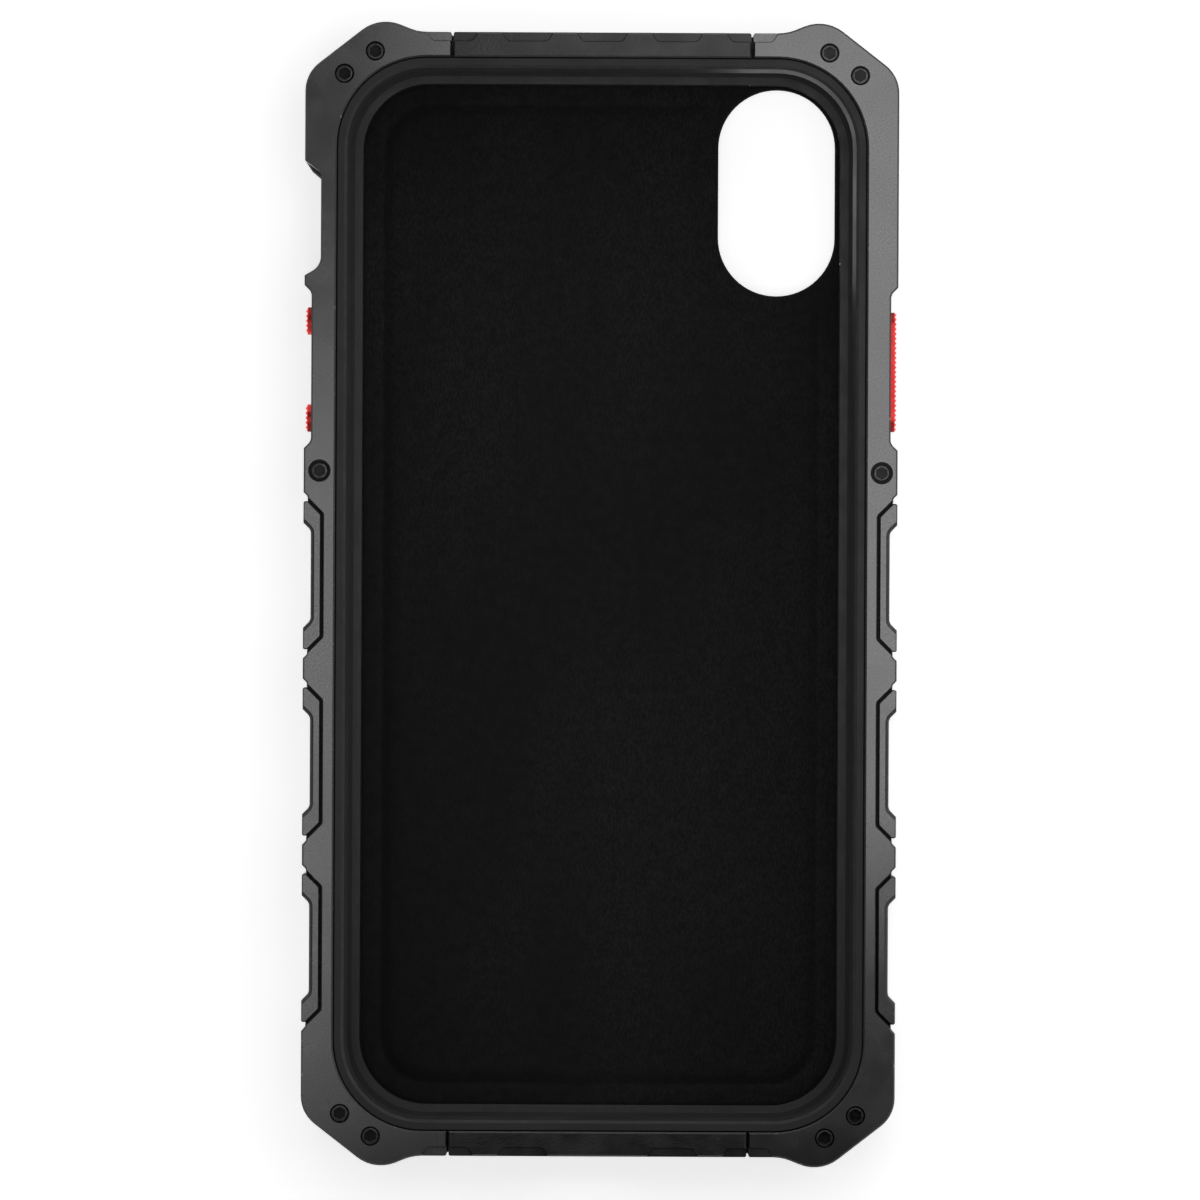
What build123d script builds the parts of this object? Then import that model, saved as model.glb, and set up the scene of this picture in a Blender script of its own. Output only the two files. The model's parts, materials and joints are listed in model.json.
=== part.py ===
"""Rugged screwed case for a 5.8-inch phone, lying on its back.

X runs to the right and Y to the phone's top, as seen from the screen side, and Z
points out of the screen. The origin is on the resting plane, under the middle of
the case. Two aluminium front rails and two polymer bridges clamp a lip ring and a
shock liner onto a moulded rear frame. All lengths are in millimetres.
"""

import os
from math import atan2, degrees, sqrt

from build123d import *

# The phone that the case fits, and the soft gap around it
PHONE_WIDTH = 70.9
PHONE_LENGTH = 143.6
PHONE_DEPTH = 7.7
PHONE_CORNER = 12.0
PHONE_GAP = 0.1

# Levels above the resting plane
PLATE_BACK = 0.4
PLATE_FRONT = 2.0
LEDGE_FRONT = 3.0
PHONE_BACK = 3.5
PHONE_FRONT = PHONE_BACK + PHONE_DEPTH
SPLIT = PHONE_BACK + PHONE_DEPTH / 2
FLANGE_BACK = 12.3
CASE_FRONT = 14.0
CUT_MARGIN = 1.0

# Outline of the case, half sizes. Its corners are (x, y, rounding), from the seam to the side
CASE_X = 39.6
CASE_Y = 74.95
CORNER_RUN = ((24.6, CASE_Y, 6.0), (29.73, 77.0, 5.2), (CASE_X, 69.32, 4.7))
EDGE_BREAK = 0.22
PARTING_BEVEL = 0.2
BACK_BEVEL = 1.0

# Cavities, half sizes and corner radii
CAVITY_X = 36.6
CAVITY_Y = 72.95
CAVITY_CORNER = 13.6
MOUTH_X = 35.4
MOUTH_Y = 71.65
MOUTH_CORNER = 12.0
LEDGE_X = 32.0
LEDGE_Y = 68.4
LEDGE_CORNER = 9.0
PLATE_X = 34.6
PLATE_Y = 71.0
PLATE_CORNER = 11.0
PLATE_BEVEL = 0.3
SEAT_GAP = 0.05

# Shock liner, half sizes inside it
LINER_X = PHONE_WIDTH / 2 + PHONE_GAP
LINER_Y = PHONE_LENGTH / 2 + PHONE_GAP
LINER_FRONT = PHONE_FRONT + SEAT_GAP
FOOT_REACH = 2.5
FOOT_CORNER = 10.0

# Lip ring: its inner side leans outwards up to the step, and bevels off above it
LIP_BACK = PHONE_FRONT + PHONE_GAP
LIP_FRONT = 13.7
LIP_STEP = 13.3
LIP_INNER_X = 33.5
LIP_INNER_Y = 69.7
LIP_INNER_CORNER = 10.1
LIP_LEAN = 0.45
LIP_RIM_GAP = 0.2
LIP_BEVEL_ANGLE = 45

# Seams between the rails and the bridges
SEAM_X = 20.0
SEAM_GAP = 0.28
SEAM_NOTCH = 0.45
TONGUE_LENGTH = 3.0
TONGUE_THICKNESS = 1.0
TONGUE_HEIGHT = 2.5

# Grip pads on each side, counted from the top
PAD_CENTRES = (2.39, -22.46, -47.31)
PAD_HALF = 9.88
PAD_WING = 2.88
PAD_RECESS = 1.0
PAD_RECESS_CORNER = 1.1
PAD_RECESS_BEVEL = 0.32
PAD_END_CORNER = 0.25
PAD_INNER_CORNER = 0.45
PAD_POCKET_CORNER = 0.5
PAD_EDGE_BREAK = 0.15
PAD_INNER = 37.25
PAD_END_INNER = 39.0
PAD_WEB = 37.9
PAD_GAP = 0.2
PAD_FIT = 0.02
PAD_WEB_GAP = 0.1
PAD_BACK = 0.3
PAD_FRONT = 13.95
HOOK = 1.75
LAND_NOTCH = 0.55
LAND_NOTCH_FLOOR = 0.65
LAND_NOTCH_CORNER = 0.4

# Side buttons
BUTTON_FLOOR = 38.65
BUTTON_FLOOR_CORNER = 1.2
BUTTON_RADIUS = 1.85
BUTTON_FACE = 39.5
BUTTON_RECESS = (41.1, 19.35)
VOLUME_UP_Y = 36.4
VOLUME_DOWN_Y = 23.43
POWER_Y = 29.9
POWER_LENGTH = 16.0
BUTTON_CLEARANCE = 0.1
FLANGE_RADIUS = 2.35
FLANGE_THICKNESS = 0.35
KEY_PAD_THICKNESS = 0.35
KEY_PAD_RADIUS = 2.3
KNURL_PITCH = 0.64
KNURL_DEPTH = 0.25
GROOVE_LENGTH = 60
BUTTON_BREAK = 0.3

# Screws and inserts
CORNER_SCREW_SPOTS = ((30.3, 72.35), (34.4, 69.35))
SIDE_SCREW_SPOT = (37.5, 16.35)
CORNER_COUNTERBORE = 1.3
SIDE_COUNTERBORE = 1.5
CORNER_HEAD = 1.14
SIDE_HEAD = 1.1
HEAD_TOP = 13.6
HEAD_ROUNDING = 0.2
HEX_RADIUS = 0.86
HEX_DEPTH = 0.75
SHANK_RADIUS = 0.7
SHANK_HOLE = 0.8
SHANK_END = 3.4
INSERT_RADIUS = 1.0
INSERT_BORE = 0.72
INSERT_BACK = 3.2
INSERT_FRONT = 7.2
BOSS_RADIUS = 1.45

# Windows through the walls
CAMERA_SPOT = (23.4, 53.9)
CAMERA_RADIUS = 8.0
CAMERA_LENGTH = 28.0
CAMERA_RING = 1.2
CAMERA_RING_BEVEL = 0.35
CAMERA_LINING_LAP = 0.2
PORT_WIDTH = 13.5
PORT_HEIGHT = 7.0
PORT_CORNER = 3.0
SPEAKER_X = 13.8
SPEAKER_LENGTH = 10.2
SPEAKER_HEIGHT = 2.6
SWITCH_Y = 50.05
SWITCH_LENGTH = 9.3
SWITCH_HEIGHT = 4.7
SWITCH_CORNER = 1.2
SWITCH_FLOOR = 37.45
LEAD_IN = 0.35

# Recess around the switch window, as (x, y, rounding). The rear frame's comes nearer to the window
SWITCH_RECESS_TOP = (CASE_X, 57.7, 0)
SWITCH_RECESS_FRONT = ((SWITCH_FLOOR, 56.12, 1.4),)
SWITCH_RECESS_REAR = ((38.8, 56.5, 0), (SWITCH_FLOOR, 55.35, 0.3))
SWITCH_RECESS_END = ((SWITCH_FLOOR, 43.65, 2.2), (CASE_X, 42.4, 0))

# Chevron grooves milled into the back plate for grip
CHEVRON_COUNT = 17
CHEVRON_PITCH = 5.0
CHEVRON_START = -52.0
CHEVRON_HALF = 25.0
CHEVRON_RISE = 9.0
CHEVRON_WIDTH = 1.0
CHEVRON_DEPTH = 0.3

# Shallow pockets along the top and bottom edges
SCALLOP_TOP = (-20.0, -10.0, 0.0, 10.0, 20.0)
SCALLOP_BOTTOM = (-20.0, -10.0, 10.0, 20.0)
SCALLOP_OUTER = 7.05
SCALLOP_INNER = 5.4
SCALLOP_REACH = 1.25
SCALLOP_DEPTH = 0.5
SCALLOP_CORNER = 0.8
SCALLOP_DRAFT = 12
SCALLOP_ON_RAIL = 15.0

LEFT = -1
RIGHT = 1


def finish(part, name):
    """Label a finished piece and write it under its node name."""
    part.label = name
    export_step(part, f"parts/{name}.step")


def outline_face(corners):
    """A closed face through (x, y, radius) corners, on the XY plane."""
    with BuildSketch() as outline:
        Polygon(*[(x, y) for x, y, radius in corners], align=None)
        for wanted in sorted({radius for x, y, radius in corners if radius}):
            spots = [(x, y) for x, y, radius in corners if radius == wanted]
            found = [outline.vertices().sort_by_distance(spot)[0] for spot in spots]
            fillet(found, radius=wanted)
    return outline.sketch


def add_outline(corners):
    """Add that face to the active sketch."""
    add(outline_face(corners))


def side_run(side, layer):
    """Corners of one long side of the outline, from top to bottom, for +X."""
    run = []
    if side == LEFT:
        run.append(SWITCH_RECESS_TOP)
        run += SWITCH_RECESS_FRONT if layer == "front" else SWITCH_RECESS_REAR
        run += SWITCH_RECESS_END
    top, bottom = BUTTON_RECESS
    slope = CASE_X - BUTTON_FLOOR
    run.append((CASE_X, top, 0))
    run.append((BUTTON_FLOOR, top - slope, BUTTON_FLOOR_CORNER))
    run.append((BUTTON_FLOOR, bottom + slope, BUTTON_FLOOR_CORNER))
    run.append((CASE_X, bottom, 0))
    for centre in PAD_CENTRES:
        reach = PAD_HALF + LAND_NOTCH_FLOOR
        run.append((CASE_X, centre + reach + LAND_NOTCH, 0))
        run.append((CASE_X - LAND_NOTCH, centre + reach, LAND_NOTCH_CORNER))
        run.append((CASE_X - LAND_NOTCH, centre - reach, LAND_NOTCH_CORNER))
        run.append((CASE_X, centre - reach - LAND_NOTCH, 0))
    return run


def case_outline(layer):
    """The whole outline of the case, clockwise from the top seam."""
    run = list(CORNER_RUN)
    run += side_run(RIGHT, layer)
    run += [(x, -y, radius) for x, y, radius in CORNER_RUN[::-1]]
    run += [(-x, -y, radius) for x, y, radius in CORNER_RUN]
    run += [(-x, y, radius) for x, y, radius in side_run(LEFT, layer)[::-1]]
    run += [(-x, y, radius) for x, y, radius in CORNER_RUN[::-1]]
    return run


def pad_outline(side, centre):
    """Corners of a grip pad: two wings, the finger recess and a bevelled inner edge."""
    recess_end = PAD_HALF - PAD_WING
    bevel = PAD_END_INNER - PAD_INNER
    upper = [
        (PAD_INNER, PAD_HALF - bevel, PAD_INNER_CORNER),
        (PAD_END_INNER, PAD_HALF, 0),
        (CASE_X, PAD_HALF, PAD_END_CORNER),
        (CASE_X, recess_end, 0),
        (CASE_X - PAD_RECESS, recess_end - PAD_RECESS, PAD_RECESS_CORNER),
    ]
    lower = [(x, -y, radius) for x, y, radius in upper[::-1]]
    return [(side * x, centre + y, radius) for x, y, radius in upper + lower]


def pocket_outline(side, centre, floor_x, rounding, gap):
    """Corners of the room for a grip pad, from floor_x out, with an even gap round the pad's plan."""
    reach = PAD_HALF + gap
    end_x = PAD_END_INNER + gap - gap * sqrt(2)
    floor_y = reach - (end_x - floor_x)
    outer = CASE_X + CUT_MARGIN
    upper = [(floor_x, floor_y, rounding), (end_x, reach, 0), (outer, reach, 0)]
    lower = [(x, -y, radius) for x, y, radius in upper[::-1]]
    return [(side * x, centre + y, radius) for x, y, radius in upper + lower]


def draw_button_section(length, radius):
    """The button's section in the active sketch: round, or a slot when it is long."""
    if length > 2 * radius:
        SlotOverall(length, 2 * radius)
    else:
        Circle(radius)


def side_plane(side, y, x):
    """A plane across a button's travel, facing outwards."""
    return Plane(origin=(side * x, y, SPLIT), x_dir=(0, 1, 0), z_dir=(side, 0, 0))


def cut_pad_pockets(side, low, high, plan_low, plan_high):
    """Cut room for one side's pads: a groove all round the hook, and a close fit for the web."""
    for centre in PAD_CENTRES:
        with BuildSketch(Plane.XY.offset(plan_low)) as shape:
            floor_x = PAD_INNER - PAD_GAP
            add_outline(pocket_outline(side, centre, floor_x, PAD_POCKET_CORNER, PAD_GAP))
        extrude(shape.sketch, amount=plan_high - plan_low, mode=Mode.SUBTRACT)
        with BuildSketch(Plane.XY.offset(low)) as shape:
            add_outline(pocket_outline(side, centre, PAD_WEB - PAD_WEB_GAP, 0, PAD_FIT))
        extrude(shape.sketch, amount=high - low, mode=Mode.SUBTRACT)


def cut_switch_window(x_from, x_to):
    """Cut the rounded window in front of the phone's own switch, on the left side."""
    with BuildSketch(side_plane(LEFT, SWITCH_Y, x_from)) as shape:
        RectangleRounded(SWITCH_LENGTH, SWITCH_HEIGHT, SWITCH_CORNER)
    extrude(shape.sketch, amount=x_to - x_from, mode=Mode.SUBTRACT)


def cut_side_windows(side, x_from, x_to, clearance):
    """Cut every window of one long side: its buttons and, on the left, the switch."""
    radius = BUTTON_RADIUS + clearance
    sizes = [(POWER_Y, POWER_LENGTH + 2 * clearance)]
    if side == LEFT:
        sizes = [(VOLUME_UP_Y, 2 * radius), (VOLUME_DOWN_Y, 2 * radius)]
    for y, length in sizes:
        with BuildSketch(side_plane(side, y, x_from)) as shape:
            draw_button_section(length, radius)
        extrude(shape.sketch, amount=x_to - x_from, mode=Mode.SUBTRACT)
    if side == LEFT:
        cut_switch_window(x_from, x_to)


def cut_bottom_windows(y_from, y_to):
    """Cut the charging port and the two speaker slots through the bottom wall."""
    plane = Plane(origin=(0, -y_from, SPLIT), x_dir=(1, 0, 0), z_dir=(0, -1, 0))
    with BuildSketch(plane) as shape:
        RectangleRounded(PORT_WIDTH, PORT_HEIGHT, PORT_CORNER)
        with Locations((-SPEAKER_X, 0), (SPEAKER_X, 0)):
            SlotOverall(SPEAKER_LENGTH, SPEAKER_HEIGHT)
    extrude(shape.sketch, amount=y_to - y_from, mode=Mode.SUBTRACT)


def bevel_switch_window():
    """Bevel the outer edge of the switch window."""
    with BuildSketch(side_plane(LEFT, SWITCH_Y, SWITCH_FLOOR)) as shape:
        RectangleRounded(
            SWITCH_LENGTH + 2 * LEAD_IN,
            SWITCH_HEIGHT + 2 * LEAD_IN,
            SWITCH_CORNER + LEAD_IN,
        )
    extrude(shape.sketch, amount=-LEAD_IN, taper=45, mode=Mode.SUBTRACT)


def bevel_bottom_windows():
    """Bevel the outer edges of the charging port and the speaker slots."""
    plane = Plane(origin=(0, -CASE_Y, SPLIT), x_dir=(1, 0, 0), z_dir=(0, -1, 0))
    with BuildSketch(plane) as shape:
        RectangleRounded(
            PORT_WIDTH + 2 * LEAD_IN, PORT_HEIGHT + 2 * LEAD_IN, PORT_CORNER + LEAD_IN
        )
        with Locations((-SPEAKER_X, 0), (SPEAKER_X, 0)):
            SlotOverall(SPEAKER_LENGTH + 2 * LEAD_IN, SPEAKER_HEIGHT + 2 * LEAD_IN)
    extrude(shape.sketch, amount=-LEAD_IN, taper=45, mode=Mode.SUBTRACT)


def cut_seam_notches(low, high):
    """Cut the small V at the outer end of each seam."""
    with BuildSketch(Plane.XY.offset(low)) as shape:
        with GridLocations(2 * SEAM_X, 2 * CASE_Y, 2, 2):
            Rectangle(SEAM_NOTCH, SEAM_NOTCH, rotation=45)
    extrude(shape.sketch, amount=high - low, mode=Mode.SUBTRACT)


def cut_scallops(end, spots):
    """Cut the shallow drafted pockets along the top (end 1) or bottom (end -1) edge."""
    inner_y = end * (CASE_Y - SCALLOP_REACH)
    outer_y = end * (CASE_Y + SCALLOP_REACH)
    half_in = SCALLOP_INNER / 2
    half_out = SCALLOP_OUTER - half_in
    for x in spots:
        with BuildSketch(Plane.XY.offset(CASE_FRONT)) as shape:
            add_outline(
                [
                    (x - half_in, inner_y, SCALLOP_CORNER),
                    (x + half_in, inner_y, SCALLOP_CORNER),
                    (x + half_out, outer_y, 0),
                    (x - half_out, outer_y, 0),
                ]
            )
        extrude(shape.sketch, amount=-SCALLOP_DEPTH, taper=SCALLOP_DRAFT, mode=Mode.SUBTRACT)


def screw_spots():
    """Every corner screw, then the two side screws, as (x, y) pairs."""
    corners = [
        (sign_x * x, sign_y * y)
        for x, y in CORNER_SCREW_SPOTS
        for sign_x in (LEFT, RIGHT)
        for sign_y in (-1, 1)
    ]
    x, y = SIDE_SCREW_SPOT
    return corners, [(-x, y), (x, y)]


def drill(spots, low, high, radius):
    """Cut a straight round hole at each spot, between two levels."""
    with BuildSketch(Plane.XY.offset(low)) as shape:
        with Locations(spots):
            Circle(radius)
    extrude(shape.sketch, amount=high - low, mode=Mode.SUBTRACT)


def front_rail(side):
    """One aluminium front rail with both of its corners."""
    with BuildPart() as rail:
        with BuildSketch(Plane.XY.offset(SPLIT)):
            add_outline(case_outline("front"))
        extrude(amount=CASE_FRONT - SPLIT)
        chamfer(rail.faces().sort_by(Axis.Z)[0].edges(), PARTING_BEVEL)
        with BuildSketch(Plane.XY.offset(SPLIT)):
            RectangleRounded(2 * CAVITY_X, 2 * CAVITY_Y, CAVITY_CORNER)
        extrude(amount=FLANGE_BACK - SPLIT, mode=Mode.SUBTRACT)
        with BuildSketch(Plane.XY.offset(SPLIT)):
            RectangleRounded(2 * MOUTH_X, 2 * MOUTH_Y, MOUTH_CORNER)
        extrude(amount=CASE_FRONT - SPLIT, mode=Mode.SUBTRACT)
        cut_plane = Plane.YZ.offset(side * (SEAM_X + SEAM_GAP / 2))
        split(bisect_by=cut_plane, keep=Keep.TOP if side == RIGHT else Keep.BOTTOM)
        with BuildSketch(Plane.XY.offset(SPLIT)):
            with Locations((side * SIDE_SCREW_SPOT[0], SIDE_SCREW_SPOT[1])):
                Circle(BOSS_RADIUS)
        extrude(amount=FLANGE_BACK - SPLIT)
        cut_pad_pockets(
            side, SPLIT, CASE_FRONT, PAD_FRONT - HOOK - PAD_WEB_GAP, CASE_FRONT
        )
        top = rail.faces().sort_by(Axis.Z)[-1]
        chamfer(top.outer_wire().edges(), EDGE_BREAK)
        corners, sides = screw_spots()
        near = [spot for spot in corners if spot[0] * side > 0]
        beside = [spot for spot in sides if spot[0] * side > 0]
        drill(near + beside, SPLIT, CASE_FRONT, SHANK_HOLE)
        drill(near, FLANGE_BACK, CASE_FRONT, CORNER_COUNTERBORE)
        drill(beside, FLANGE_BACK, CASE_FRONT, SIDE_COUNTERBORE)
        cut_side_windows(side, MOUTH_X, CASE_X + CUT_MARGIN, BUTTON_CLEARANCE)
        if side == LEFT:
            bevel_switch_window()
        cut_scallops(1, [x for x in SCALLOP_TOP if x * side > SCALLOP_ON_RAIL])
        cut_scallops(-1, [x for x in SCALLOP_BOTTOM if x * side > SCALLOP_ON_RAIL])
        cut_seam_notches(SPLIT, CASE_FRONT)
        with BuildSketch(Plane.XY.offset(SPLIT)):
            with Locations(*tongue_spots(side)):
                Rectangle(
                    TONGUE_LENGTH + 2 * SEAM_GAP, TONGUE_THICKNESS + 2 * SEAT_GAP
                )
        extrude(amount=TONGUE_HEIGHT + SEAT_GAP, mode=Mode.SUBTRACT)
    return rail.part


def tongue_spots(side):
    """Centres of the tongues that run from the bridges into one rail."""
    x = side * (SEAM_X - SEAM_GAP / 2 + TONGUE_LENGTH / 2)
    y = CAVITY_Y + SEAT_GAP + TONGUE_THICKNESS / 2
    return [(x, y), (x, -y)]


def front_bridge(end):
    """The polymer bridge between the rails at the top (end 1) or bottom (end -1)."""
    width = 2 * SEAM_X - SEAM_GAP
    with BuildPart() as bridge:
        with BuildSketch(Plane.XY.offset(FLANGE_BACK)):
            with Locations((0, end * (MOUTH_Y + CASE_Y) / 2)):
                Rectangle(width, CASE_Y - MOUTH_Y)
        extrude(amount=CASE_FRONT - FLANGE_BACK)
        with BuildSketch(Plane.XY.offset(SPLIT)):
            with Locations((0, end * (CAVITY_Y + CASE_Y) / 2)):
                Rectangle(width, CASE_Y - CAVITY_Y)
        extrude(amount=FLANGE_BACK - SPLIT)
        top = bridge.faces().sort_by(Axis.Z)[-1]
        chamfer(top.edges(), EDGE_BREAK)
        outer_face = bridge.faces().sort_by(Axis.Y)[-1 if end == 1 else 0]
        chamfer(outer_face.edges().sort_by(Axis.Z)[0], PARTING_BEVEL)
        with BuildSketch(Plane.XY.offset(SPLIT)):
            spots = tongue_spots(LEFT) + tongue_spots(RIGHT)
            with Locations(*[spot for spot in spots if spot[1] * end > 0]):
                Rectangle(TONGUE_LENGTH, TONGUE_THICKNESS)
        extrude(amount=TONGUE_HEIGHT)
        if end == 1:
            cut_scallops(end, SCALLOP_TOP)
        else:
            cut_scallops(end, SCALLOP_BOTTOM)
            cut_bottom_windows(CAVITY_Y - CUT_MARGIN, CASE_Y + CUT_MARGIN)
            bevel_bottom_windows()
        cut_seam_notches(SPLIT, CASE_FRONT)
    return bridge.part


def grip_pad(side, centre):
    """One clip-on grip pad: a C that hooks over the front and the back of the wall."""
    with BuildPart() as pad:
        with BuildSketch(Plane.XY.offset(PAD_BACK)):
            add_outline(pad_outline(side, centre))
        extrude(amount=PAD_FRONT - PAD_BACK)
        levels = pad.faces().sort_by(Axis.Z)
        rims = levels[-1].edges() + levels[0].edges()
        in_recess = [
            edge
            for edge in rims
            if abs(edge.center().Y - centre) < PAD_HALF - PAD_WING
            and abs(edge.center().X) > PAD_WEB
        ]
        chamfer(in_recess, PAD_RECESS_BEVEL)
        levels = pad.faces().sort_by(Axis.Z)
        rims = levels[-1].edges() + levels[0].edges()
        in_wings = [
            edge
            for edge in rims
            if abs(edge.center().Y - centre) > PAD_HALF - PAD_WING
            or abs(edge.center().X) < PAD_WEB
        ]
        chamfer(in_wings, PAD_EDGE_BREAK)
        with BuildSketch(Plane.XY.offset(PAD_BACK + HOOK)):
            with Locations((side * (PAD_WEB - CUT_MARGIN), centre)):
                Rectangle(2 * CUT_MARGIN, 2 * (PAD_HALF + CUT_MARGIN))
        extrude(amount=PAD_FRONT - PAD_BACK - 2 * HOOK, mode=Mode.SUBTRACT)
    return pad.part


def side_button(side, y, length):
    """A knurled metal button: plunger, pyramid face and the flange that traps it."""
    flange_out = CAVITY_X - SEAT_GAP
    flange_in = flange_out - FLANGE_THICKNESS
    grow = 2 * (FLANGE_RADIUS - BUTTON_RADIUS)
    with BuildPart() as button:
        with BuildSketch(side_plane(side, y, flange_in)):
            draw_button_section(length, BUTTON_RADIUS)
        extrude(amount=BUTTON_FACE - flange_in)
        crown = button.faces().sort_by(Axis.X)[-1 if side == RIGHT else 0]
        chamfer(crown.edges(), BUTTON_BREAK)
        for across in (Plane.XY, Plane.XZ):
            reach = length if across == Plane.XY else 2 * BUTTON_RADIUS
            middle = y if across == Plane.XY else SPLIT
            grooves = int(reach / KNURL_PITCH) + 1
            with BuildSketch(across):
                for index in range(grooves):
                    place = middle + (index - (grooves - 1) / 2) * KNURL_PITCH
                    with BuildLine():
                        Polyline(
                            (side * (BUTTON_FACE - KNURL_DEPTH), place),
                            (side * BUTTON_FACE, place + KNURL_PITCH / 2),
                            (side * BUTTON_FACE, place - KNURL_PITCH / 2),
                            close=True,
                        )
                    make_face()
            extrude(amount=GROOVE_LENGTH, both=True, mode=Mode.SUBTRACT)
        with BuildSketch(side_plane(side, y, flange_in)):
            draw_button_section(length + grow, FLANGE_RADIUS)
        extrude(amount=FLANGE_THICKNESS)
    return button.part


def key_pad(side, y, length):
    """The silicone pad that covers a button's flange and presses the phone's own key."""
    pad_out = CAVITY_X - SEAT_GAP - FLANGE_THICKNESS
    grow = 2 * (KEY_PAD_RADIUS - BUTTON_RADIUS)
    with BuildPart() as pad:
        with BuildSketch(side_plane(side, y, pad_out - KEY_PAD_THICKNESS)):
            draw_button_section(length + grow, KEY_PAD_RADIUS)
        extrude(amount=KEY_PAD_THICKNESS)
    return pad.part


def hex_screws(spots, head_radius):
    """Socket-head screws: head, hexagon socket and shank, as separate solids."""
    with BuildPart() as screws:
        with BuildSketch(Plane.XY.offset(FLANGE_BACK)):
            with Locations(*spots):
                Circle(head_radius)
        extrude(amount=HEAD_TOP - FLANGE_BACK)
        rims = screws.faces().filter_by(Axis.Z).group_by(Axis.Z)[-1].edges()
        fillet(rims, radius=HEAD_ROUNDING)
        with BuildSketch(Plane.XY.offset(SHANK_END)):
            with Locations(*spots):
                Circle(SHANK_RADIUS)
        extrude(amount=FLANGE_BACK - SHANK_END)
        with BuildSketch(Plane.XY.offset(HEAD_TOP - HEX_DEPTH)):
            with Locations(*spots):
                RegularPolygon(HEX_RADIUS, 6, rotation=30)
        extrude(amount=HEX_DEPTH, mode=Mode.SUBTRACT)
    return screws.part


os.makedirs("parts", exist_ok=True)
corner_spots, side_spots = screw_spots()

# Front rails and bridges
finish(front_rail(LEFT), "front_rail_left")
finish(front_rail(RIGHT), "front_rail_right")
finish(front_bridge(1), "front_bridge_top")
finish(front_bridge(-1), "front_bridge_bottom")

# Rear frame: one moulding with the ledge for the plate and the blind insert holes
with BuildPart() as rear_frame:
    with BuildSketch(Plane.XY):
        add_outline(case_outline("rear"))
    extrude(amount=SPLIT)
    chamfer(rear_frame.faces().sort_by(Axis.Z)[0].edges(), BACK_BEVEL)
    chamfer(rear_frame.faces().sort_by(Axis.Z)[-1].edges(), PARTING_BEVEL)
    with BuildSketch(Plane.XY.offset(LEDGE_FRONT)):
        RectangleRounded(2 * CAVITY_X, 2 * CAVITY_Y, CAVITY_CORNER)
    extrude(amount=SPLIT - LEDGE_FRONT, mode=Mode.SUBTRACT)
    with BuildSketch(Plane.XY):
        RectangleRounded(2 * PLATE_X, 2 * PLATE_Y, PLATE_CORNER)
    extrude(amount=PLATE_FRONT, mode=Mode.SUBTRACT)
    with BuildSketch(Plane.XY):
        RectangleRounded(2 * LEDGE_X, 2 * LEDGE_Y, LEDGE_CORNER)
    extrude(amount=LEDGE_FRONT, mode=Mode.SUBTRACT)
    with BuildSketch(Plane.XY.offset(LEDGE_FRONT)):
        with Locations(*side_spots):
            Circle(BOSS_RADIUS)
    extrude(amount=SPLIT - LEDGE_FRONT)
    for side in (LEFT, RIGHT):
        cut_pad_pockets(side, 0, SPLIT, 0, PAD_BACK + HOOK + PAD_WEB_GAP)
        cut_side_windows(side, LEDGE_X, CASE_X + CUT_MARGIN, BUTTON_CLEARANCE)
    bevel_switch_window()
    cut_bottom_windows(LEDGE_Y, CASE_Y + 2 * CUT_MARGIN)
    bevel_bottom_windows()
    drill(corner_spots + side_spots, INSERT_BACK, SPLIT, INSERT_RADIUS)
    cut_seam_notches(0, SPLIT)
finish(rear_frame.part, "rear_frame")

# Back plate, let into the rear frame from behind
with BuildPart() as back_plate:
    with BuildSketch(Plane.XY.offset(PLATE_BACK)):
        RectangleRounded(
            2 * (PLATE_X - SEAT_GAP), 2 * (PLATE_Y - SEAT_GAP), PLATE_CORNER - SEAT_GAP
        )
        with Locations(CAMERA_SPOT):
            SlotOverall(
                CAMERA_LENGTH + 2 * CAMERA_RING + 2 * SEAT_GAP,
                2 * (CAMERA_RADIUS + CAMERA_RING + SEAT_GAP),
                rotation=90,
                mode=Mode.SUBTRACT,
            )
    extrude(amount=PLATE_FRONT - PLATE_BACK)
    chamfer(back_plate.faces().sort_by(Axis.Z)[0].edges(), PLATE_BEVEL)
    with BuildSketch(Plane.XY.offset(PLATE_BACK)):
        for index in range(CHEVRON_COUNT):
            apex = CHEVRON_START + index * CHEVRON_PITCH
            foot = apex - CHEVRON_RISE
            Polygon(
                (0, apex),
                (-CHEVRON_HALF, foot),
                (-CHEVRON_HALF, foot - CHEVRON_WIDTH),
                (0, apex - CHEVRON_WIDTH),
                (CHEVRON_HALF, foot - CHEVRON_WIDTH),
                (CHEVRON_HALF, foot),
                align=None,
            )
    extrude(amount=CHEVRON_DEPTH, mode=Mode.SUBTRACT)
finish(back_plate.part, "back_plate")

# Camera ring, flush with the resting plane so that the lens never touches a table
with BuildPart() as camera_ring:
    with BuildSketch(Plane.XY):
        with Locations(CAMERA_SPOT):
            SlotOverall(
                CAMERA_LENGTH + 2 * CAMERA_RING,
                2 * (CAMERA_RADIUS + CAMERA_RING),
                rotation=90,
            )
            SlotOverall(
                CAMERA_LENGTH, 2 * CAMERA_RADIUS, rotation=90, mode=Mode.SUBTRACT
            )
    extrude(amount=PLATE_FRONT)
    chamfer(camera_ring.faces().sort_by(Axis.Z)[0].edges(), CAMERA_RING_BEVEL)
finish(camera_ring.part, "camera_ring")

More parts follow.
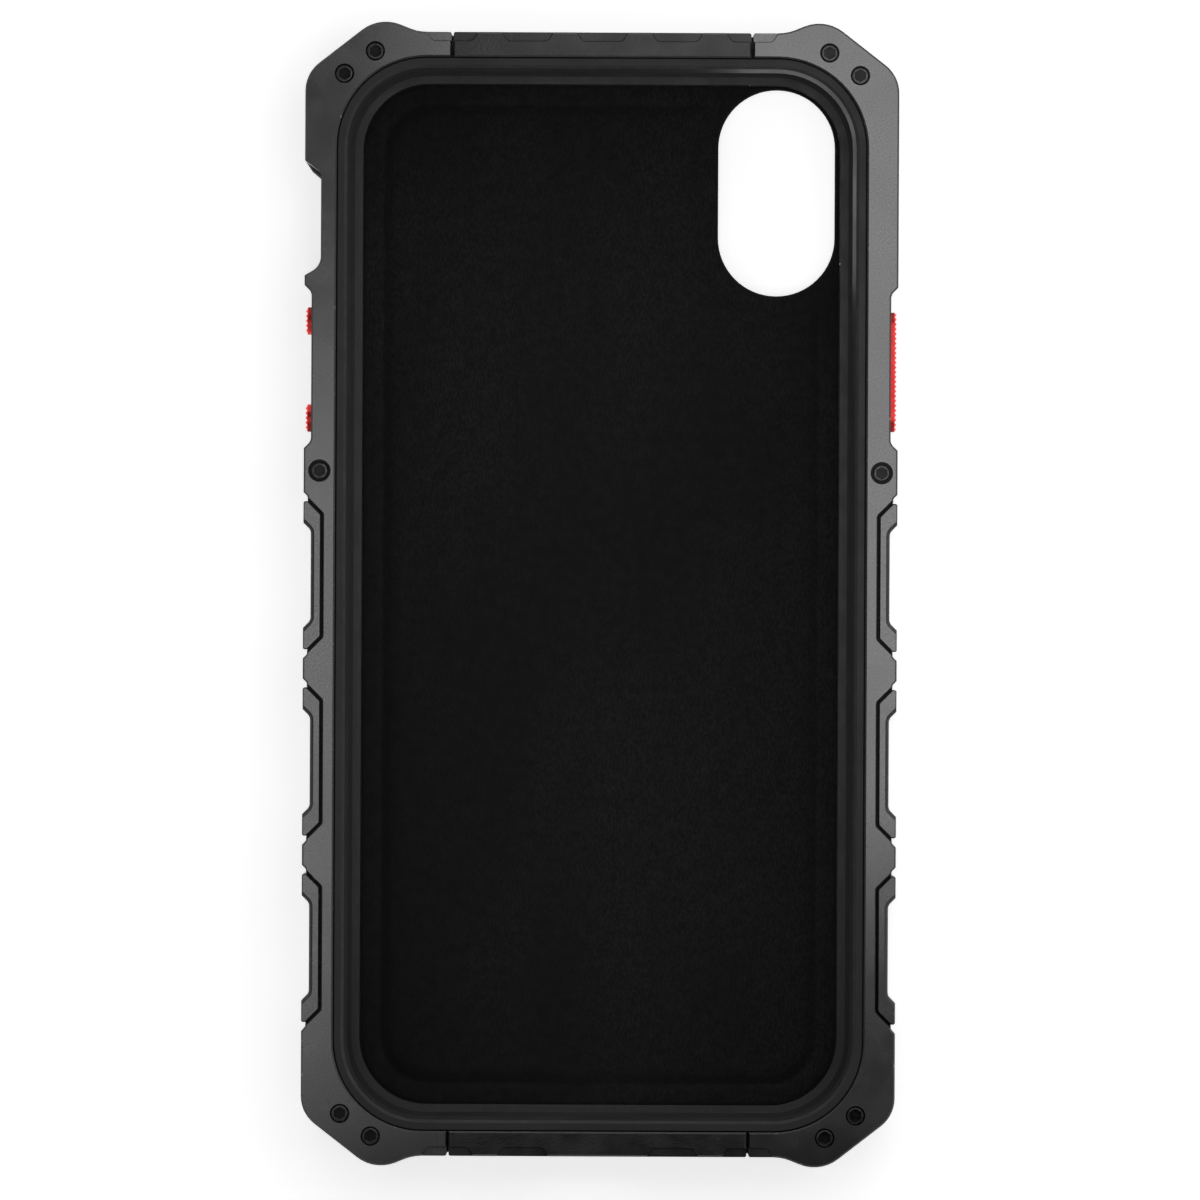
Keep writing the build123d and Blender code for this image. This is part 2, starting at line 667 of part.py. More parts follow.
# Soft lining between the plate and the phone's back
with BuildPart() as back_lining:
    with BuildSketch(Plane.XY.offset(PLATE_FRONT)):
        RectangleRounded(
            2 * (LEDGE_X - PHONE_GAP),
            2 * (LEDGE_Y - PHONE_GAP),
            LEDGE_CORNER - PHONE_GAP,
        )
        with Locations(CAMERA_SPOT):
            SlotOverall(
                CAMERA_LENGTH - 2 * CAMERA_LINING_LAP,
                2 * (CAMERA_RADIUS - CAMERA_LINING_LAP),
                rotation=90,
                mode=Mode.SUBTRACT,
            )
    extrude(amount=PHONE_BACK - PHONE_GAP - PLATE_FRONT)
finish(back_lining.part, "back_lining")

# Shock liner: the soft wall around the phone, with a foot under the phone's edge
with BuildPart() as shock_liner:
    with BuildSketch(Plane.XY.offset(LEDGE_FRONT)):
        RectangleRounded(
            2 * (CAVITY_X - SEAT_GAP),
            2 * (CAVITY_Y - SEAT_GAP),
            CAVITY_CORNER - SEAT_GAP,
        )
    extrude(amount=LINER_FRONT - LEDGE_FRONT)
    with BuildSketch(Plane.XY.offset(PHONE_BACK - PHONE_GAP)):
        RectangleRounded(2 * LINER_X, 2 * LINER_Y, PHONE_CORNER + PHONE_GAP)
    extrude(amount=LINER_FRONT - PHONE_BACK + PHONE_GAP, mode=Mode.SUBTRACT)
    with BuildSketch(Plane.XY.offset(LEDGE_FRONT)):
        RectangleRounded(
            2 * (LINER_X - FOOT_REACH), 2 * (LINER_Y - FOOT_REACH), FOOT_CORNER
        )
    extrude(amount=PHONE_BACK - LEDGE_FRONT, mode=Mode.SUBTRACT)
    drill(side_spots, LEDGE_FRONT, LINER_FRONT, BOSS_RADIUS + PHONE_GAP)
    for side in (LEFT, RIGHT):
        window_gap = FLANGE_RADIUS - BUTTON_RADIUS + BUTTON_CLEARANCE
        cut_side_windows(side, LINER_X - CUT_MARGIN, CASE_X, window_gap)
    cut_bottom_windows(LINER_Y - CUT_MARGIN, CASE_Y)
finish(shock_liner.part, "shock_liner")

# Lip ring: clamped under the rails, it stands around the glass and slopes in to it
with BuildPart() as lip_ring:
    with BuildSketch(Plane.XY.offset(LIP_BACK)):
        RectangleRounded(
            2 * (CAVITY_X - SEAT_GAP),
            2 * (CAVITY_Y - SEAT_GAP),
            CAVITY_CORNER - SEAT_GAP,
        )
    extrude(amount=FLANGE_BACK - SEAT_GAP - LIP_BACK)
    with BuildSketch(Plane.XY.offset(FLANGE_BACK - SEAT_GAP)):
        RectangleRounded(
            2 * (MOUTH_X - LIP_RIM_GAP),
            2 * (MOUTH_Y - LIP_RIM_GAP),
            MOUTH_CORNER - LIP_RIM_GAP,
        )
    extrude(amount=LIP_FRONT - FLANGE_BACK + SEAT_GAP)
    drill(side_spots, LIP_BACK, FLANGE_BACK - SEAT_GAP, BOSS_RADIUS + PHONE_GAP)
    lean_angle = degrees(atan2(LIP_LEAN, LIP_STEP - LIP_BACK))
    with BuildSketch(Plane.XY.offset(LIP_BACK)):
        RectangleRounded(2 * LIP_INNER_X, 2 * LIP_INNER_Y, LIP_INNER_CORNER)
    extrude(amount=LIP_STEP - LIP_BACK, taper=-lean_angle, mode=Mode.SUBTRACT)
    with BuildSketch(Plane.XY.offset(LIP_STEP)):
        RectangleRounded(
            2 * (LIP_INNER_X + LIP_LEAN),
            2 * (LIP_INNER_Y + LIP_LEAN),
            LIP_INNER_CORNER + LIP_LEAN,
        )
    extrude(amount=LIP_FRONT - LIP_STEP, taper=-LIP_BEVEL_ANGLE, mode=Mode.SUBTRACT)
finish(lip_ring.part, "lip_ring")

# Grip pads, three on each side
for side, word in ((LEFT, "left"), (RIGHT, "right")):
    for number, centre in enumerate(PAD_CENTRES, start=1):
        finish(grip_pad(side, centre), f"grip_pad_{word}_{number}")

# Buttons and the pads behind them
BUTTONS = (
    ("volume_up", LEFT, VOLUME_UP_Y, 2 * BUTTON_RADIUS),
    ("volume_down", LEFT, VOLUME_DOWN_Y, 2 * BUTTON_RADIUS),
    ("power", RIGHT, POWER_Y, POWER_LENGTH),
)
for name, side, y, length in BUTTONS:
    finish(side_button(side, y, length), f"{name}_button")
    finish(key_pad(side, y, length), f"{name}_key_pad")

# Screws and the brass inserts that they hold in
finish(hex_screws(corner_spots, CORNER_HEAD), "corner_screws")
finish(hex_screws(side_spots, SIDE_HEAD), "side_screws")

with BuildPart() as frame_inserts:
    with BuildSketch(Plane.XY.offset(INSERT_BACK)):
        with Locations(*(corner_spots + side_spots)):
            Circle(INSERT_RADIUS)
            Circle(INSERT_BORE, mode=Mode.SUBTRACT)
    extrude(amount=INSERT_FRONT - INSERT_BACK)
finish(frame_inserts.part, "frame_inserts")
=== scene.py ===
import json
import math

import bmesh
import bpy
import numpy as np
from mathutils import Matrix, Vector
from mathutils.geometry import delaunay_2d_cdt


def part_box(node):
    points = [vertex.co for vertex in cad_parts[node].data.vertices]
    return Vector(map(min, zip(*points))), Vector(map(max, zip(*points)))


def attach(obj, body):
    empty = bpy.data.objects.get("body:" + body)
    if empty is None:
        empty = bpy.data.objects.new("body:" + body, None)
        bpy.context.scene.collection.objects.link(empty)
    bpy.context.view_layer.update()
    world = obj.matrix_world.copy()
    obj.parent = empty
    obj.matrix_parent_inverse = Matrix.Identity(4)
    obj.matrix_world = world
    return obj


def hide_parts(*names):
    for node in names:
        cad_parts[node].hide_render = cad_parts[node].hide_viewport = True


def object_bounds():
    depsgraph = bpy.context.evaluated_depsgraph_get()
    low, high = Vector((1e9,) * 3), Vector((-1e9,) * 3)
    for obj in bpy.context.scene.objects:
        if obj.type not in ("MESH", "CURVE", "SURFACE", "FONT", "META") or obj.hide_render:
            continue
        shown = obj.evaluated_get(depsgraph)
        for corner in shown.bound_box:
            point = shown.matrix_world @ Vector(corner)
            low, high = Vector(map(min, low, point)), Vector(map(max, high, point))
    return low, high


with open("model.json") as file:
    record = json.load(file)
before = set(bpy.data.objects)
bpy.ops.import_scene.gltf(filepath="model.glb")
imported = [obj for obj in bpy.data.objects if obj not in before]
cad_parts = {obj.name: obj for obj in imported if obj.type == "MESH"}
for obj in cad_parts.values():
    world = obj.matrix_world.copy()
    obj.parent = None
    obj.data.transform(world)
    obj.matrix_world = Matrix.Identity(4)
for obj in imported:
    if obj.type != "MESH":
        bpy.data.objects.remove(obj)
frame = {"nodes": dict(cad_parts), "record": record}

CAD_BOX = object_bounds()
MM = 0.001

# Camera and studio
CAMERA_HEIGHT = 2.0
VIEW_WIDTH = 0.16
CAMERA_DROP = 0.73 * MM
CAMERA_ROLL = 0.0047
SENSOR_WIDTH = 36.0
NEAREST_SEEN = 0.01
FLOOR_SIZE = 6.0
FLOOR_CELLS = 24
FLOOR_DROP = 0.02 * MM
FLOOR_GLOW = 0.68

# The two soft lights: place over the case, size and watts. Both look straight down from one height
LIGHT_HEIGHT = 0.16
LIGHTS = {
    "key": ((0.046, 0.042), (0.139, 0.168), 0.0855),
    "fill": ((-0.064, -0.019), (0.066, 0.108), 0.0205),
}

# The surrounding glow is full below the first height of a direction and faint above the second.
# It leans to the upper right
GLOW_FROM = 0.35
GLOW_TO = 0.8
GLOW_OVERHEAD = 0.03
GLOW_LEVEL = 0.9
GLOW_LEAN = (0.28, 0.28, 0.0)

# Microfibre lining. The rows are distances from its edges, in millimetres, with a row of points each
LINING_CORNER = 8.9 * MM
LINING_WINDOW_INSET = 1.4 * MM
LINING_WINDOW_ROUND = 0.999
LINING_STEP = 0.75 * MM
LINING_PITCH = 1.2 * MM
LINING_ROWS = (0.1, 0.3, 0.8, 1.5, 2.1, 2.4, 2.65, 2.85, 3.05, 3.3, 3.7, 4.2)
LINING_ROUNDING = 0.3 * MM
LINING_BORDER = 2.85 * MM
LINING_GROOVE = 0.45 * MM
LINING_GROOVE_DEPTH = 0.22 * MM
LINING_PRESSED = 0.42 * MM
LINING_RISE = 1.6 * MM
SAME_POINT = 1e-7

# Crush ribs on the inside of the shock liner
LINER_WALL = 1.0 * MM
LINER_CORNER = 12.1 * MM
LINER_FOOT = 0.3 * MM
RIB_PITCH = 2.2 * MM
RIB_RADIUS = 0.45 * MM
RIB_SETBACK = 0.2 * MM
RIB_SIDES = 12
RIB_DOME = (0.35, 0.65, 0.88)
RIB_TOP_GAP = 0.35 * MM
RIB_CLEAR = 1.0 * MM
BOTTOM_WINDOWS_HALF = 20.0 * MM


class Finish:
    """A procedural material: its shader, and short calls that add the nodes which drive it."""

    def __init__(self, name, **values):
        self.material = bpy.data.materials.new(name)
        self.material.use_nodes = True
        self.tree = self.material.node_tree
        self.shader = self.tree.nodes["Principled BSDF"]
        for key, value in values.items():
            self.shader.inputs[key.replace("_", " ")].default_value = value
        self.place = self.add("ShaderNodeMapping", Scale=(1 / MM,) * 3)
        self.join(self.add("ShaderNodeTexCoord").outputs["Object"], self.place.inputs["Vector"])
        self.normal = None

    def add(self, kind, **values):
        """A new node, with its input sockets set by name."""
        node = self.tree.nodes.new(kind)
        for key, value in values.items():
            node.inputs[key.replace("_", " ")].default_value = value
        return node

    def join(self, output, socket):
        self.tree.links.new(output, socket)

    def stretched(self, scale):
        """The millimetre coordinates, scaled apart along X, Y and Z."""
        node = self.add("ShaderNodeMapping", Scale=scale)
        self.join(self.place.outputs[0], node.inputs["Vector"])
        return node.outputs[0]

    def noise(self, per_mm, detail=2.0, stretch=None):
        """Cloudy noise, about per_mm blobs to the millimetre."""
        node = self.add("ShaderNodeTexNoise", Scale=per_mm, Detail=detail)
        self.join(self.stretched(stretch) if stretch else self.place.outputs[0], node.inputs["Vector"])
        return node.outputs["Fac"]

    def cells(self, per_mm):
        """Distance to the nearest of scattered points, about per_mm of them to the millimetre."""
        node = self.add("ShaderNodeTexVoronoi", Scale=per_mm)
        self.join(self.place.outputs[0], node.inputs["Vector"])
        return node.outputs["Distance"]

    def axis(self, letter):
        """One of the millimetre coordinates."""
        node = self.add("ShaderNodeSeparateXYZ")
        self.join(self.place.outputs[0], node.inputs[0])
        return node.outputs[letter]

    def maths(self, operation, first, second=0.0):
        """A Math node. Each operand is an output or a number."""
        node = self.tree.nodes.new("ShaderNodeMath")
        node.operation = operation
        for socket, value in zip(node.inputs, (first, second)):
            if isinstance(value, float):
                socket.default_value = value
            else:
                self.join(value, socket)
        return node.outputs[0]

    def range(self, value, low, high, to_low=0.0, to_high=1.0):
        """value from low to high, turned smoothly into to_low to to_high."""
        node = self.tree.nodes.new("ShaderNodeMapRange")
        node.interpolation_type = "SMOOTHSTEP"
        self.join(value, node.inputs["Value"])
        for name, number in (("From Min", low), ("From Max", high), ("To Min", to_low), ("To Max", to_high)):
            node.inputs[name].default_value = number
        return node.outputs["Result"]

    def facing(self):
        """How far a face looks up or down: 0 on a wall, 1 on a flat top, 0.7 on a bevel between them."""
        node = self.add("ShaderNodeSeparateXYZ")
        self.join(self.add("ShaderNodeNewGeometry").outputs["True Normal"], node.inputs[0])
        return self.maths("ABSOLUTE", node.outputs["Z"])

    def bevels(self):
        """1 on the bevels between walls and flat tops, and 0 on both of those."""
        slope = self.facing()
        return self.maths("MULTIPLY", self.range(slope, 0.2, 0.5), self.range(slope, 0.97, 0.85))

    def mix(self, share, first, second):
        """A colour between first and second. Each of the two is an output or a colour."""
        node = self.tree.nodes.new("ShaderNodeMix")
        node.data_type = "RGBA"
        self.join(share, node.inputs[0])
        for socket, value in ((node.inputs[6], first), (node.inputs[7], second)):
            if isinstance(value, tuple):
                socket.default_value = value
            else:
                self.join(value, socket)
        return node.outputs[2]

    def bump(self, height, depth_mm, strength=1.0):
        """Adds relief of that depth, on top of any relief already there."""
        node = self.add("ShaderNodeBump", Strength=strength, Distance=depth_mm * MM)
        self.join(height, node.inputs["Height"])
        if self.normal is not None:
            self.join(self.normal, node.inputs["Normal"])
        self.normal = node.outputs[0]

    def done(self, colour, roughness):
        """Joins the colour, roughness and relief to the shader, and gives the material."""
        self.join(colour, self.shader.inputs["Base Color"])
        self.join(roughness, self.shader.inputs["Roughness"])
        if self.normal is not None:
            self.join(self.normal, self.shader.inputs["Normal"])
        return self.material


def grey(level, warmth=0.0):
    """A near-neutral colour. A little warmth leans it to purple."""
    return (level * (1 + warmth), level * (1 - warmth), level * (1 + warmth), 1.0)


def blasted_aluminium(name, tone):
    """Bead-blasted and anodised: a fine even grain, a slow drift of tone, painted shade darkening the
    bevels with small polished nicks over it, and painted shade on up-facing floors below the front face."""
    paint = Finish(name, Metallic=1.0)
    front = CAD_BOX[1].z / MM
    drift = paint.range(paint.noise(0.06, detail=3.0), 0.3, 0.7)
    grain = paint.range(paint.noise(5.5, detail=2.0), 0.32, 0.68)
    body = paint.mix(drift, grey(tone * 0.97, 0.008), grey(tone * 1.06, 0.008))
    speckled = paint.mix(grain, grey(tone * 0.77, 0.01), body)
    bevels = paint.bevels()
    # Painted shade: the bevels are darkened towards a deep grey, standing in for the shade they fall into.
    shaded_bevels = paint.mix(paint.maths("MULTIPLY", bevels, 0.9), speckled, grey(tone * 0.22))
    nicks = paint.maths("MULTIPLY", bevels, paint.range(paint.noise(1.3, detail=4.0), 0.62, 0.75))
    # worn holds the painted bevel shade, with small polished nicks of real wear laid over it.
    worn = paint.mix(nicks, shaded_bevels, grey(tone * 1.3))
    # Painted shade: up-facing floors more than half a millimetre below the front face, such as counterbore
    # floors and pocket ledges, are darkened nearly to black.
    sunk = paint.range(paint.axis("Z"), front - 0.5, front - 0.9)
    recess_shade = paint.maths("MULTIPLY", sunk, paint.range(paint.facing(), 0.9, 0.97))
    colour = paint.mix(recess_shade, worn, grey(tone * 0.08))
    roughness = paint.range(paint.noise(0.11, detail=4.0), 0.35, 0.7, 0.24, 0.31)
    paint.bump(paint.noise(6.5, detail=2.0), 0.010, 0.3)
    return paint.done(colour, roughness)


def eroded_polymer(name, tone, per_mm, gloss):
    """Moulded polymer with a spark-eroded grain: rounded pits, paler rubbed edges."""
    paint = Finish(name, Specular_IOR_Level=0.68)
    cloud = paint.range(paint.noise(0.09, detail=4.0), 0.3, 0.7)
    fibre = paint.range(paint.noise(1.6, detail=3.0, stretch=(1.0, 0.18, 1.0)), 0.45, 0.75)
    body = paint.mix(cloud, grey(tone * 0.8), grey(tone * 1.2))
    streaked = paint.mix(fibre, body, grey(tone * 1.5))
    worn = paint.maths("MULTIPLY", paint.bevels(), paint.range(paint.noise(0.8, detail=4.0), 0.4, 0.8))
    colour = paint.mix(worn, streaked, grey(tone * 2.6))
    roughness = paint.range(paint.noise(0.3, detail=4.0), 0.3, 0.7, gloss, gloss + 0.12)
    paint.bump(paint.cells(per_mm), 0.025, 0.5)
    paint.bump(paint.noise(per_mm * 2.2), 0.010, 0.4)
    return paint.done(colour, roughness)


def woven_composite():
    """Twill-woven glass and carbon cloth under a thin matt resin."""
    tow = 1.3
    paint = Finish("woven_composite", Coat_Weight=0.25, Coat_Roughness=0.35)
    across = paint.maths("DIVIDE", paint.axis("X"), tow)
    along = paint.maths("DIVIDE", paint.axis("Y"), tow)
    step = paint.maths("ADD", paint.maths("FLOOR", across), paint.maths("FLOOR", along))
    quarter = paint.maths("FLOORED_MODULO", step, 4.0)
    warp_on_top = paint.maths("LESS_THAN", quarter, 1.5)
    warp_round = paint.maths("ABSOLUTE", paint.maths("SINE", paint.maths("MULTIPLY", across, math.pi)))
    weft_round = paint.maths("ABSOLUTE", paint.maths("SINE", paint.maths("MULTIPLY", along, math.pi)))
    warp = paint.maths("MULTIPLY", warp_round, warp_on_top)
    weft = paint.maths("MULTIPLY", weft_round, paint.maths("SUBTRACT", 1.0, warp_on_top))
    height = paint.maths("ADD", warp, weft)
    strands_x = paint.noise(6.0, stretch=(1.0, 0.08, 1.0))
    strands_y = paint.noise(6.0, stretch=(0.08, 1.0, 1.0))
    strands = paint.mix(warp_on_top, strands_y, strands_x)
    strand_tone = paint.mix(strands, grey(0.010), grey(0.032))
    tow_tone = paint.mix(warp_on_top, grey(0.012), grey(0.026))
    cloth = paint.mix(height, grey(0.004), paint.mix(paint.range(strands, 0.3, 0.7), strand_tone, tow_tone))
    worn = paint.maths("MULTIPLY", paint.bevels(), paint.range(paint.noise(0.9, detail=4.0), 0.4, 0.8))
    colour = paint.mix(worn, cloth, grey(0.07))
    roughness = paint.range(paint.noise(0.2, detail=4.0), 0.3, 0.7, 0.38, 0.52)
    paint.bump(height, 0.06, 0.6)
    paint.bump(strands, 0.02, 0.5)
    return paint.done(colour, roughness)


def turned_ring():
    """Anodised aluminium with fine lines left by the cutter, worn bright on its bevel."""
    paint = Finish("turned_ring", Metallic=1.0)
    lines = paint.noise(3.0, detail=3.0, stretch=(0.25, 0.25, 6.0))
    cloud = paint.range(paint.noise(0.15, detail=3.0), 0.3, 0.7)
    body = paint.mix(cloud, grey(0.075), grey(0.10))
    worn = paint.maths("MULTIPLY", paint.bevels(), paint.range(paint.noise(1.1, detail=4.0), 0.35, 0.7))
    colour = paint.mix(worn, body, grey(0.28))
    roughness = paint.range(lines, 0.3, 0.7, 0.26, 0.42)
    paint.bump(lines, 0.008, 0.5)
    paint.bump(paint.noise(8.0), 0.004, 0.3)
    return paint.done(colour, roughness)


def microfibre():
    """Short brushed nap: patches that lie different ways, single fibres, and a soft sheen."""
    paint = Finish("microfibre", Sheen_Weight=0.25, Sheen_Roughness=0.45, Specular_IOR_Level=0.15)
    brushed = paint.range(paint.noise(0.05, detail=4.0, stretch=(1.0, 0.35, 1.0)), 0.35, 0.65)
    fibres = paint.noise(4.5, detail=4.0, stretch=(1.0, 0.4, 1.0))
    tufts = paint.range(fibres, 0.35, 0.7)
    nap = paint.mix(brushed, grey(0.007), grey(0.013))
    colour = paint.mix(tufts, grey(0.005), nap)
    roughness = paint.range(paint.noise(0.6, detail=3.0), 0.3, 0.7, 0.82, 0.97)
    paint.bump(fibres, 0.09, 0.8)
    paint.bump(paint.noise(0.9, detail=3.0), 0.10, 0.3)
    return paint.done(colour, roughness)


def soft_rubber(name, tone, gloss):
    """Moulded elastomer: satin, with a very fine stipple, faint bloom and rubbed edges."""
    paint = Finish(name, Specular_IOR_Level=0.45, Sheen_Weight=0.03, Sheen_Roughness=0.5)
    bloom = paint.range(paint.noise(0.12, detail=5.0), 0.35, 0.7)
    specks = paint.range(paint.noise(3.5, detail=2.0), 0.55, 0.75)
    body = paint.mix(bloom, grey(tone * 0.85), grey(tone * 1.15))
    dusted = paint.mix(specks, body, grey(tone * 1.4))
    worn = paint.maths("MULTIPLY", paint.bevels(), paint.range(paint.noise(0.7, detail=4.0), 0.4, 0.8))
    colour = paint.mix(worn, dusted, grey(tone * 1.9))
    roughness = paint.range(paint.noise(0.25, detail=4.0), 0.3, 0.7, gloss, gloss + 0.1)
    paint.bump(paint.noise(4.0, detail=2.0), 0.012, 0.5)
    paint.bump(paint.cells(2.2), 0.008, 0.3)
    return paint.done(colour, roughness)


def red_anodised(button):
    """Red anodised aluminium: deep colour in the knurl's valleys, paler where fingers rub its tips."""
    low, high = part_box(button)
    outer = high.x if high.x > 0 else -low.x
    paint = Finish("red_anodised_" + button, Metallic=0.85)
    tips = paint.range(paint.maths("ABSOLUTE", paint.axis("X")), (outer - 0.22 * MM) / MM, outer / MM)
    rubbed = paint.maths("MULTIPLY", tips, paint.range(paint.noise(1.4, detail=4.0), 0.4, 0.75))
    cloud = paint.range(paint.noise(0.5, detail=3.0), 0.3, 0.7)
    dye = paint.mix(cloud, (0.90, 0.050, 0.050, 1.0), (0.98, 0.070, 0.068, 1.0))
    colour = paint.mix(rubbed, dye, (0.98, 0.15, 0.13, 1.0))
    roughness = paint.range(paint.noise(2.5, detail=3.0), 0.3, 0.7, 0.30, 0.42)
    paint.bump(paint.noise(6.0, detail=2.0), 0.008, 0.4)
    return paint.done(colour, roughness)


def black_oxide_steel():
    """Black oxide over steel: slightly oily, and bare at the edges that a key has touched. Below the
    head's face it is darkened nearly to black as painted shade in the socket and the counterbore."""
    paint = Finish("black_oxide_steel", Metallic=1.0)
    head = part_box("corner_screws")[1].z / MM
    oil = paint.range(paint.noise(0.7, detail=4.0), 0.35, 0.65)
    oxide = paint.mix(oil, (0.072, 0.072, 0.077, 1.0), (0.100, 0.098, 0.098, 1.0))
    worn = paint.maths("MULTIPLY", paint.bevels(), paint.range(paint.noise(1.8, detail=4.0), 0.3, 0.6))
    rubbed = paint.mix(worn, oxide, grey(0.34))
    # Painted shade: everything from a quarter to half a millimetre below the head's top face is darkened
    # nearly to black.
    socket_shade = paint.range(paint.axis("Z"), head - 0.25, head - 0.5)
    colour = paint.mix(socket_shade, rubbed, grey(0.028))
    roughness = paint.range(paint.noise(1.5, detail=3.0), 0.3, 0.7, 0.26, 0.40)
    paint.bump(paint.noise(7.0, detail=2.0), 0.006, 0.4)
    return paint.done(colour, roughness)


def turned_brass():
    """Free-cutting brass, turned: rings along its height and a little tarnish."""
    paint = Finish("turned_brass", Metallic=1.0)
    rings = paint.noise(2.5, detail=3.0, stretch=(0.2, 0.2, 5.0))
    tarnish = paint.range(paint.noise(0.5, detail=5.0), 0.4, 0.7)
    colour = paint.mix(tarnish, (0.62, 0.42, 0.16, 1.0), (0.36, 0.22, 0.09, 1.0))
    roughness = paint.range(rings, 0.3, 0.7, 0.22, 0.40)
    paint.bump(rings, 0.010, 0.5)
    return paint.done(colour, roughness)


def studio_floor():
    """Pale painted board."""
    paint = Finish("studio_floor", Emission_Color=grey(1.0), Emission_Strength=FLOOR_GLOW)
    cloud = paint.range(paint.noise(0.004, detail=3.0), 0.3, 0.7)
    colour = paint.mix(cloud, grey(0.86), grey(0.90))
    roughness = paint.range(paint.noise(0.02, detail=3.0), 0.3, 0.7, 0.75, 0.9)
    return paint.done(colour, roughness)


def finish_cad_nodes():
    """Gives every CAD node its finish, by the record's material slot that it carries."""
    finishes = {
        "rail_metal": blasted_aluminium("rail_aluminium", 0.20),
        "grip_polymer": blasted_aluminium("grip_pad_coating", 0.20),
        "bridge_polymer": eroded_polymer("bridge_polyamide", 0.007, 4.0, 0.27),
        "frame_polymer": eroded_polymer("frame_polyamide", 0.014, 3.0, 0.46),
        "back_composite": woven_composite(),
        "ring_metal": turned_ring(),
        "lining_fabric": microfibre(),
        "liner_rubber": soft_rubber("liner_elastomer", 0.012, 0.55),
        "lip_rubber": soft_rubber("lip_elastomer", 0.013, 0.5),
        "key_silicone": soft_rubber("key_silicone_rubber", 0.02, 0.5),
        "screw_steel": black_oxide_steel(),
        "insert_brass": turned_brass(),
    }
    for node in frame["nodes"].values():
        for place in node.material_slots:
            if place.material.name == "button_red":
                place.material = red_anodised(node.name)
            else:
                place.material = finishes[place.material.name]
    return finishes


def rounded_rectangle(half_x, half_y, corner, step):
    """Points round a rounded rectangle about the origin, from its right side, anticlockwise."""
    turns = ((1, 1), (-1, 1), (-1, -1), (1, -1))
    points = []
    for quarter, (side_x, side_y) in enumerate(turns):
        middle = Vector((side_x * (half_x - corner), side_y * (half_y - corner)))
        count = max(4, round(corner * math.pi / 2 / step))
        for index in range(count + 1):
            angle = (quarter + index / count) * math.pi / 2
            points.append(middle + corner * Vector((math.cos(angle), math.sin(angle))))
        straight = 2 * ((half_x - corner) if quarter % 2 == 0 else (half_y - corner))
        cuts = max(1, round(straight / step))
        ahead = Vector((-math.sin(angle), math.cos(angle)))
        points += [points[-1] + ahead * straight * k / cuts for k in range(1, cuts)]
    if (points[0] - points[-1]).length < step / 10:
        points.pop()
    return points


def edge_distance(x, y, half_x, half_y, corner):
    """How far inside a rounded rectangle about the origin the points are, negative outside."""
    over_x = np.abs(x) - (half_x - corner)
    over_y = np.abs(y) - (half_y - corner)
    outside = np.hypot(np.maximum(over_x, 0), np.maximum(over_y, 0))
    return corner - outside - np.minimum(np.maximum(over_x, over_y), 0)


def mesh_piece(name, build, material, smooth=True):
    """A new object in the scene from a bmesh."""
    mesh = bpy.data.meshes.new(name)
    build.to_mesh(mesh)
    build.free()
    mesh.materials.append(material)
    if smooth:
        mesh.shade_smooth()
    piece = bpy.data.objects.new(name, mesh)
    bpy.context.scene.collection.objects.link(piece)
    return piece


def closed_slab(plan, faces, top, bottom):
    """A closed bmesh over flat triangles: the height of each point above, one level below."""
    build = bmesh.new()
    upper = [build.verts.new((x, y, z)) for (x, y), z in zip(plan, top)]
    lower = [build.verts.new((x, y, bottom)) for x, y in plan]
    sides = {pair: None for face in faces for pair in zip(face, [*face[1:], face[0]])}
    for face in faces:
        build.faces.new([upper[k] for k in face])
        build.faces.new([lower[k] for k in reversed(face)])
    for first, second in sides:
        if (second, first) not in sides:
            build.faces.new((upper[second], upper[first], lower[first], lower[second]))
    loose = [vert for vert in build.verts if not vert.link_faces]
    bmesh.ops.delete(build, geom=loose, context="VERTS")
    bmesh.ops.recalc_face_normals(build, faces=build.faces)
    return build


